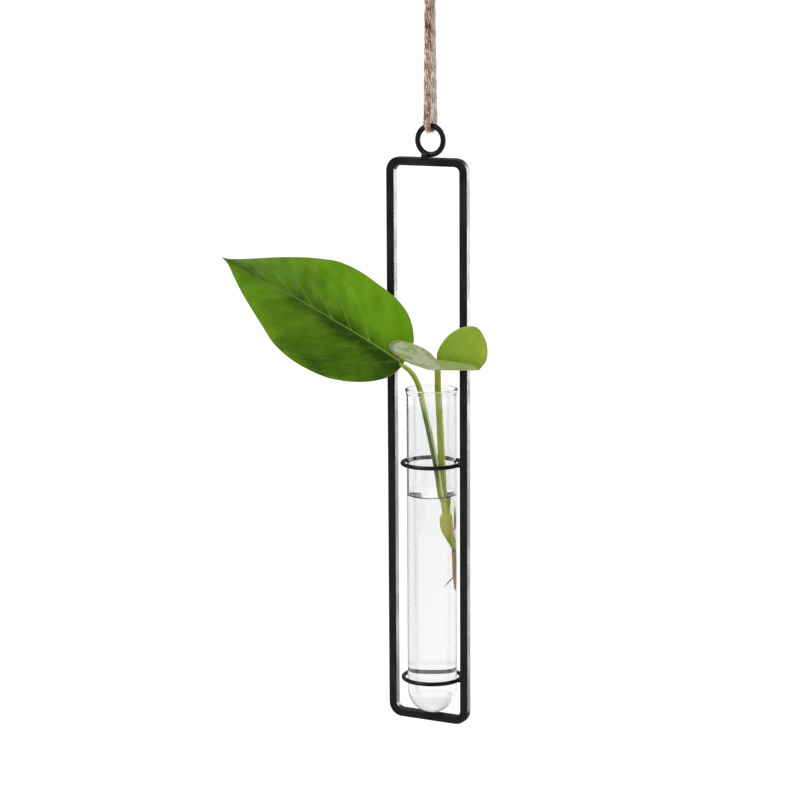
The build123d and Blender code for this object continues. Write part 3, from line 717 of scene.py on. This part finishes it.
def build_small_leaf():
    axes = facing_axes(0.0)
    halves = [
        leaf_half(small_midrib, small_near_margin, 5.0, (0.25, 0.8), 130, 34),
        leaf_half(small_midrib, small_far_margin, 2.6, (0.25, 0.8), 130, 34),
    ]
    bm = leaf_mesh(
        halves, small_depth_finder(axes), small_base, axes, (small_near_veins, small_far_veins), 0.4, 0.35,
        lambda x, y, reach: 0.35 * noise.noise(Vector((x * 0.12, y * 0.12, 9.1))) * sin(pi * reach),
    )
    face_towards(bm, axes[2], 1)
    leaf = add_piece("small_leaf_blade", bm, [small_face, small_back], "cutting", ["small_leaf"])
    return thicken(leaf, 0.5)


build_large_leaf()
build_small_leaf()


# ---- Stalks, stem, sheath and roots ----


def grooved(turn, depth):
    """The outline of a stalk with a groove down one side."""
    return lambda angle: 1.0 - depth * exp(-((((angle - turn + pi) % (2 * pi) - pi) / 0.45) ** 2))


def build_stalks():
    large_route = [
        (-0.365, 0.280, -0.012), (-0.345, 0.340, 0.026), (-0.308, 0.405, 0.055), (-0.140, 0.510, 0.285), (0.070, 0.572, 0.500), (0.265, 0.617, 0.690),
        (0.382, 0.644, 0.805), (0.560, 0.750, 0.902), (0.760, 0.870, 0.962), (0.975, 0.992, 0.998), (1.10, 1.02, 1.012),
    ]
    points = [place_at(-17.2 * right, 14.5 * front, stem_top_z + 85.6 * height) for right, front, height in large_route]
    line = [Vector(p) for p in smooth_line(points, 150)]
    share = np.linspace(0, 1, 150)
    radii = list(np.interp(share, (0, 0.08, 0.3, 0.7, 0.88, 0.96, 1.0), (1.9, 1.9, 1.85, 1.72, 1.62, 1.4, 0.6)))
    bm = bmesh.new()
    sweep(bm, line, radii, 36, 0.0, grooved(radians(200), 0.17))
    roughen(bm, 0.07, 0.5, 2)
    add_piece("large_leaf_stalk", bm, [large_stalk], "cutting", ["large_leaf_petiole"])

    small_route = [
        (1.970, 0.142, -0.004), (1.970, 0.142, 0.050), (1.500, 0.405, 0.475), (1.090, 0.575, 0.830), (1.020, 0.830, 0.920),
        (1.000, 0.970, 0.998),
    ]
    points = [place_at(3.55 * right, 18.3 * front, stem_top_z + 82.95 * height) for right, front, height in small_route]
    points.append(small_base + Vector((0.0, 0.0, -0.72)))
    line = [Vector(p) for p in smooth_line(points, 130)]
    share = np.linspace(0, 1, 130)
    radii = list(np.interp(share, (0, 0.1, 0.5, 0.8, 0.93, 0.985, 1.0), (2.15, 2.15, 2.05, 1.9, 1.85, 1.9, 1.2)))
    bm = bmesh.new()
    sweep(bm, line, radii, 36, 0.0, grooved(radians(60), 0.10))
    roughen(bm, 0.07, 0.5, 4)
    add_piece("small_leaf_stalk", bm, [small_stalk], "cutting", ["small_leaf_petiole"])


def build_stem():
    """The vine's node: oval above, a swollen ring, then a belly that bends over into the root."""
    rows = [
        (-346.4, 6.60, 2.9, 2.20, 3.4), (-349.0, 6.70, 3.0, 2.25, 3.3), (-352.6, 6.80, 3.0, 2.10, 2.9), (-355.4, 7.00, 3.0, 2.02, 2.8),
        (-356.9, 7.00, 3.0, 2.70, 3.0), (-358.1, 7.00, 3.0, 3.30, 3.3), (-358.9, 7.02, 3.0, 3.35, 3.3), (-360.0, 7.05, 3.0, 3.25, 3.05),
        (-363.0, 7.20, 3.0, 3.35, 2.95), (-366.6, 7.70, 2.6, 3.20, 2.8), (-369.0, 8.40, 2.2, 2.95, 2.7), (-372.7, 9.80, 1.6, 2.70, 2.4),
        (-375.7, 10.60, 1.1, 2.10, 1.9), (-378.3, 10.80, 0.7, 1.45, 1.4), (-379.4, 10.82, 0.6, 1.30, 1.3),
    ]
    table = smooth_line(rows, 150)
    bm = bmesh.new()
    fibre = bm.verts.layers.float_vector.new("fibre")
    plan = Matrix.Rotation(facing_turn, 4, "Z")
    edges = []
    before = None
    for height, right, front, half_width, half_depth in table:
        placed = Matrix.Translation(place_at(right, front, height)) @ plan @ Matrix.Diagonal((half_width, half_depth, 1, 1))
        if before is None:
            ring = bmesh.ops.create_circle(bm, cap_ends=False, radius=1.0, segments=48, matrix=placed)["verts"]
            edges = list(bm.edges)
            bmesh.ops.edgeloop_fill(bm, edges=edges)
        else:
            grown = bmesh.ops.extrude_edge_only(bm, edges=edges)["geom"]
            ring = {g for g in grown if isinstance(g, bmesh.types.BMVert)}
            edges = [g for g in grown if isinstance(g, bmesh.types.BMEdge) and g.verts[0] in ring and g.verts[1] in ring]
            bmesh.ops.transform(bm, matrix=placed @ before.inverted(), verts=list(ring))
        back = placed.inverted()
        for v in ring:
            local = back @ v.co
            v[fibre] = (local.x * 1.5, local.y * 0.6, height - stem_top_z)
        before = placed
    bmesh.ops.edgeloop_fill(bm, edges=edges)
    bmesh.ops.recalc_face_normals(bm, faces=bm.faces)
    roughen(bm, 0.14, 0.4, 6)
    add_piece("vine_stem", bm, [stem_finish], "cutting", ["main_stem"])


def build_sheath():
    """The dry sheath: a thin blade that curls round a small green bud."""
    bm = bmesh.new()
    rows, columns = 60, 16
    bmesh.ops.create_grid(bm, x_segments=columns, y_segments=rows, size=1.0)
    fibre = bm.verts.layers.float_vector.new("fibre")
    heights = (-370.0, -366.0, -361.0, -356.0, -351.8, -346.9)
    for v in bm.verts:
        across, up = v.co.x, (v.co.y + 1) / 2
        height = -370.0 + 23.1 * up
        left = np.interp(height, heights, (11.3, 10.4, 9.6, 9.0, 8.6, 8.4))
        right = np.interp(height, heights, (11.9, 12.6, 12.9, 12.6, 11.8, 10.1))
        v[fibre] = (across * 1.2, 0.0, up * 23.1)
        v.co = place_at((left + right) / 2 + (right - left) / 2 * across, -0.4 + 1.3 * across * across, height)
    bmesh.ops.recalc_face_normals(bm, faces=bm.faces)
    sheath = add_piece("dry_sheath", bm, [sheath_finish], "cutting", ["leaf_sheath"])
    solid = sheath.modifiers.new("thickness", "SOLIDIFY")
    solid.thickness = 0.4 * mm
    solid.offset = 0
    bm = bmesh.new()
    route = [
        place_at(11.1, 1.5, -367.0), place_at(11.75, 1.5, -364.0), place_at(11.8, 1.5, -360.5), place_at(11.6, 1.5, -356.0),
        place_at(11.2, 1.5, -351.8),
    ]
    line = [Vector(p) for p in smooth_line(route, 50)]
    radii = list(np.interp(np.linspace(0, 1, 50), (0, 0.12, 0.3, 0.5, 0.8, 1.0), (0.25, 0.62, 0.80, 0.70, 0.35, 0.06)))
    sweep(bm, line, radii, 24)
    add_piece("side_bud", bm, [bud_finish], "cutting")


def build_roots():
    points = [
        place_at(10.80, 0.6, -377.6), place_at(10.85, 0.6, -380.5), place_at(11.15, 0.5, -385.1), place_at(11.20, 0.5, -390.0),
        place_at(11.20, 0.5, -394.3), place_at(11.45, 0.5, -399.7), place_at(11.60, 0.5, -404.2),
    ]
    line = [Vector(p) for p in smooth_line(points, 90)]
    radii = list(np.interp(np.linspace(0, 1, 90), (0, 0.10, 0.28, 0.62, 0.83, 0.96, 1.0), (1.30, 1.45, 1.65, 1.50, 1.05, 0.65, 0.35)))
    bm = bmesh.new()
    sweep(bm, line, radii, 28)
    roughen(bm, 0.12, 0.9, 8)
    add_piece("root_strand", bm, [root_finish], "cutting", ["root"])
    points = [
        place_at(10.9, 0.5, -394.9), place_at(9.87, 0.9, -396.4), place_at(8.61, 0.8, -397.6), place_at(7.35, 0.6, -399.1),
        place_at(6.28, 0.5, -400.5), place_at(5.43, 0.5, -401.7),
    ]
    line = [Vector(p) for p in smooth_line(points, 60)]
    radii = list(np.interp(np.linspace(0, 1, 60), (0, 0.18, 0.3, 0.7, 1.0), (0.6, 0.42, 0.32, 0.28, 0.12)))
    bm = bmesh.new()
    sweep(bm, line, radii, 14)
    roughen(bm, 0.06, 1.4, 9)
    add_piece("side_rootlet", bm, [rootlet_finish], "cutting", ["rootlet"])


build_stalks()
build_stem()
build_sheath()
build_roots()


# ---- Rope, knot and loop ----


def rope_line(points):
    """The line of a rope: a smooth spline with the route's points as its control points, read back in millimetres."""
    curve = bpy.data.curves.new("rope_route", "CURVE")
    curve.dimensions = "3D"
    spline = curve.splines.new("NURBS")
    spline.points.add(len(points) - 1)
    for control, point in zip(spline.points, points):
        control.co = (*point, 1.0)
    spline.order_u = 3
    spline.use_endpoint_u = True
    spline.resolution_u = 40
    carrier = bpy.data.objects.new("rope_route", curve)
    scene.collection.objects.link(carrier)
    sampled = bpy.data.meshes.new_from_object(carrier)
    line = [v.co / mm for v in sampled.vertices]
    bpy.data.objects.remove(carrier)
    bpy.data.curves.remove(curve)
    bpy.data.meshes.remove(sampled)
    return line


def lay_plies(bm, line, phase_at, count=3, offset=0.72, radius=1.35, slim=lambda along: 1.0):
    """Plies laid round each other along the line, each with its own fibres twisted the other way."""
    frames = frames_along(line)
    walked = np.concatenate([[0], np.cumsum([(b - a).length for a, b in zip(line, line[1:])])])
    for ply in range(count):
        path = []
        radii = []
        for place, along in zip(frames, walked):
            turn = phase_at(along) + ply * 2 * pi / count
            wander = 1 + 0.10 * noise.noise(Vector((along * 0.35, ply * 5.0, 1.7)))
            size = slim(along)
            path.append(place @ Vector((offset * size * wander * cos(turn), offset * size * wander * sin(turn), 0)))
            radii.append(radius * size * (1 + 0.07 * noise.noise(Vector((along * 0.5, ply * 9.0, 4.1)))))
        sweep(bm, path, radii, 14, -2 * pi / 24.0)


def loose_fibres(bm, line, count, draw, surface=1.95):
    """Short loose fibres that leave the rope's surface and run back along it."""
    frames = frames_along(line)
    for _ in range(count):
        i = draw.randrange(3, len(frames) - 12)
        turn = draw.uniform(0, 2 * pi)
        out = Vector((cos(turn), sin(turn), 0))
        side = Vector((-sin(turn), cos(turn), 0))
        length = draw.uniform(1.8, 6.0)
        stand = draw.uniform(0.1, 0.9) ** 1.5
        curl = draw.uniform(-1.2, 1.2)
        way = draw.choice((-1, 1))
        path = [
            frames[i] @ (out * (surface + stand * sin(pi * t * 0.8)) + side * curl * t + Vector((0, 0, way * length * t)))
            for t in np.linspace(0, 1, 6)
        ]
        radius = draw.uniform(0.03, 0.06)
        sweep(bm, path, [radius * (1 - 0.5 * t) for t in np.linspace(0, 1, 6)], 3)


lay_length = 30.0


def build_rope():
    route = [
        (0, -0.00280, -0.0478), (0, -0.0036, -0.0960), (0, -0.0044, -0.1180), (0, -0.0044, -0.1263),
        (0, 0.0044, -0.1263), (0, 0.0044, -0.1180), (0, 0.0036, -0.0960), (0, 0.00280, -0.0478),
    ]
    line = rope_line(route)
    whole = sum((b - a).length for a, b in zip(line, line[1:]))
    bm = bmesh.new()
    lay_plies(
        bm, line, lambda along: 2 * pi * (along - whole / 2) / lay_length + 0.4,
        slim=lambda along: 1.0 - 0.20 * exp(-(((along - whole / 2) / 5.0) ** 2)),
    )
    rope = add_piece("jute_rope", bm, [jute_finish], "rope", ["rope_strands"])
    hair = bmesh.new()
    loose_fibres(hair, line, 420, random.Random(7))
    fuzz = add_piece("rope_fibres", hair, [jute_finish], "rope")
    return rope, fuzz, line, whole


def build_loop():
    route = [
        (0, -0.00265, -0.0355), (0, -0.00265, -0.0280), (0, -0.0079, -0.0155), (0, -0.0079, 0.0020), (0, 0.0, 0.0030),
        (0, 0.0079, 0.0020), (0, 0.0079, -0.0155), (0, 0.00265, -0.0280), (0, 0.00265, -0.0355),
    ]
    line = rope_line(route)
    whole = sum((b - a).length for a, b in zip(line, line[1:]))
    bm = bmesh.new()
    lay_plies(bm, line, lambda along: 2 * pi * along / lay_length)
    loose_fibres(bm, line, 130, random.Random(11), 1.8)
    loop = add_piece("jute_loop", bm, [jute_finish], "support", ["hanging_loop"])
    return loop, line, whole


def build_knot():
    """Three turns of the same rope round the two strands."""
    turns = 3
    route = []
    for k in range(turns * 8 + 1):
        turn = 2 * pi * k / 8
        height = -0.0453 + 0.0076 * k / (turns * 8)
        x = 0.0043 * cos(turn)
        y = 0.0043 * sin(turn) + 0.0026 * max(-1.0, min(1.0, 1.8 * sin(turn)))
        route.append((x, y, height))
    line = rope_line(route)
    bm = bmesh.new()
    lay_plies(bm, line, lambda along: 2 * pi * along / lay_length)
    for side in (-2.65, 2.65):
        core = [Vector((0, side, z)) for z in np.linspace(knot_bottom_z, knot_top_z, 30)]
        lay_plies(bm, core, lambda along: 2 * pi * along / lay_length + 1.0)
    loose_fibres(bm, line, 120, random.Random(5), 1.7)
    return add_piece("jute_knot", bm, [jute_finish], "support", ["rope_knot"])


rope, fuzz, rope_points, rope_length = build_rope()
knot = build_knot()
loop, loop_points, loop_length = build_loop()
print("rope", round(rope_length, 1), "loop", round(loop_length, 1))


# ---- Camera, stage and light ----


def add_camera():
    """The camera stands to the right of the front and a little above."""
    right = Vector((0.88456, 0.4664, -0.0056)).normalized()
    back = Vector((0.46018, -0.87066, 0.17373)).normalized()
    up = back.cross(right).normalized()
    right = up.cross(back)
    placed = Matrix((right, up, back)).transposed().to_4x4()
    placed.translation = Vector((0.6856, -1.33736, -0.02223))
    lens = bpy.data.cameras.new("camera")
    lens.sensor_width = 36.0
    lens.lens = 114.75
    lens.clip_end = 50.0
    camera = bpy.data.objects.new("camera", lens)
    camera.matrix_world = placed
    scene.collection.objects.link(camera)
    scene.camera = camera


def seen_by(tree, levels):
    """The sum of given levels for the kinds of ray that a surface is seen by."""
    rays = tree.nodes.new("ShaderNodeLightPath")
    total = None
    for kind, level in levels.items():
        step = tree.nodes.new("ShaderNodeMath")
        step.operation = "MULTIPLY_ADD"
        tree.links.new(rays.outputs[kind], step.inputs[0])
        step.inputs[1].default_value = level
        step.inputs[2].default_value = 0
        if total:
            tree.links.new(total, step.inputs[2])
        total = step.outputs[0]
    return total


def stage_finish(name, colour, glow=None, shades=None):
    """A matt surface; a glow makes it look near white to the eye, shades dull it in reflections, and shadows still fall on it."""
    material = bpy.data.materials.new(name)
    material.use_nodes = True
    tree = material.node_tree
    shader = tree.nodes["Principled BSDF"]
    shader.inputs["Base Color"].default_value = (colour, colour, colour, 1)
    shader.inputs["Roughness"].default_value = 0.9
    shader.inputs["Specular IOR Level"].default_value = 0.1
    if glow:
        shader.inputs["Emission Color"].default_value = (1, 1, 1, 1)
        tree.links.new(seen_by(tree, glow), shader.inputs["Emission Strength"])
    if shades:
        level = tree.nodes.new("ShaderNodeMath")
        level.inputs[1].default_value = colour
        tree.links.new(seen_by(tree, shades), level.inputs[0])
        tree.links.new(level.outputs[0], shader.inputs["Base Color"])
    return material


def add_stage_piece(name, bm, finish):
    mesh = bpy.data.meshes.new(name)
    bm.to_mesh(mesh)
    bm.free()
    mesh.materials.append(finish)
    piece = bpy.data.objects.new(name, mesh)
    scene.collection.objects.link(piece)


def add_backdrop():
    """White paper that runs from the floor up behind the object."""
    bm = bmesh.new()
    verts = [bm.verts.new(p) for p in ((-6, -5, -0.75), (6, -5, -0.75))]
    edges = [bm.edges.new(verts)]
    for move in ((0, 7.2, 0), (0, 0.35, 0.05), (0, 0.3, 0.2), (0, 0.15, 0.4), (0, 0, 5)):
        grown = bmesh.ops.extrude_edge_only(bm, edges=edges)["geom"]
        fresh = {g for g in grown if isinstance(g, bmesh.types.BMVert)}
        edges = [g for g in grown if isinstance(g, bmesh.types.BMEdge) and g.verts[0] in fresh and g.verts[1] in fresh]
        bmesh.ops.translate(bm, vec=move, verts=list(fresh))
    bmesh.ops.recalc_face_normals(bm, faces=bm.faces)
    add_stage_piece("backdrop", bm, stage_finish(
        "backdrop_paper", 0.86, {"Is Camera Ray": 0.5, "Is Transmission Ray": 0.36},
        {"Is Glossy Ray": -0.5, "Is Transmission Ray": 0.5},
    ))


def add_board(name, centre, aim, size, finish):
    """A dark board beside the view: the glass shows it as thin lines at its edges."""
    turn = (Vector(aim) - Vector(centre)).to_track_quat("Z", "Y").to_matrix().to_4x4()
    bm = bmesh.new()
    bmesh.ops.create_grid(
        bm, x_segments=1, y_segments=1, size=0.5,
        matrix=Matrix.Translation(centre) @ turn @ Matrix.Diagonal((size[0], size[1], 1, 1)),
    )
    add_stage_piece(name, bm, finish)


def add_lamp(name, place, aim, size, power, lit=()):
    """A soft lamp that the camera doesn't see. With a list, it lights only those pieces."""
    data = bpy.data.lights.new(name, "AREA")
    data.shape = "RECTANGLE"
    data.size, data.size_y = size
    data.energy = power
    lamp = bpy.data.objects.new(name, data)
    lamp.location = place
    lamp.rotation_euler = (Vector(aim) - Vector(place)).to_track_quat("-Z", "Y").to_euler()
    lamp.visible_camera = False
    if lit:
        pieces = bpy.data.collections.new(name + "_lit")
        for piece in lit:
            pieces.objects.link(piece)
        lamp.light_linking.receiver_collection = pieces
    scene.collection.objects.link(lamp)


def light_world():
    world = bpy.data.worlds.new("studio")
    scene.world = world
    world.use_nodes = True
    tree = world.node_tree
    ground = tree.nodes["Background"]
    ground.inputs["Color"].default_value = (1, 1, 1, 1)
    level = tree.nodes.new("ShaderNodeMath")
    level.operation = "ADD"
    level.inputs[1].default_value = 0.6
    tree.links.new(seen_by(tree, {"Is Camera Ray": 0.4, "Is Transmission Ray": 1.8, "Is Glossy Ray": -0.45}), level.inputs[0])
    tree.links.new(level.outputs[0], ground.inputs["Strength"])


add_camera()
add_backdrop()
board = stage_finish("dark_board", 0.04)
add_board("board_left", (-1.15, -0.61, -0.30), (0, 0, -0.30), (0.45, 1.0), board)
add_board("board_right", (1.15, 0.61, -0.30), (0, 0, -0.30), (0.45, 1.0), board)
add_lamp("key", (-1.1, -1.7, 1.5), (0, 0, -0.28), (1.2, 1.2), 36.0)
add_lamp("edge", (0.64, 1.18, 0.02), (0, 0, 0.02), (0.3, 1.2), 23.5, painted)
add_lamp("low_edge", (0.32, 0.59, -0.60), (0, 0, -0.47), (0.20, 0.12), 0.85, painted)
light_world()
scene.view_settings.view_transform = "Standard"
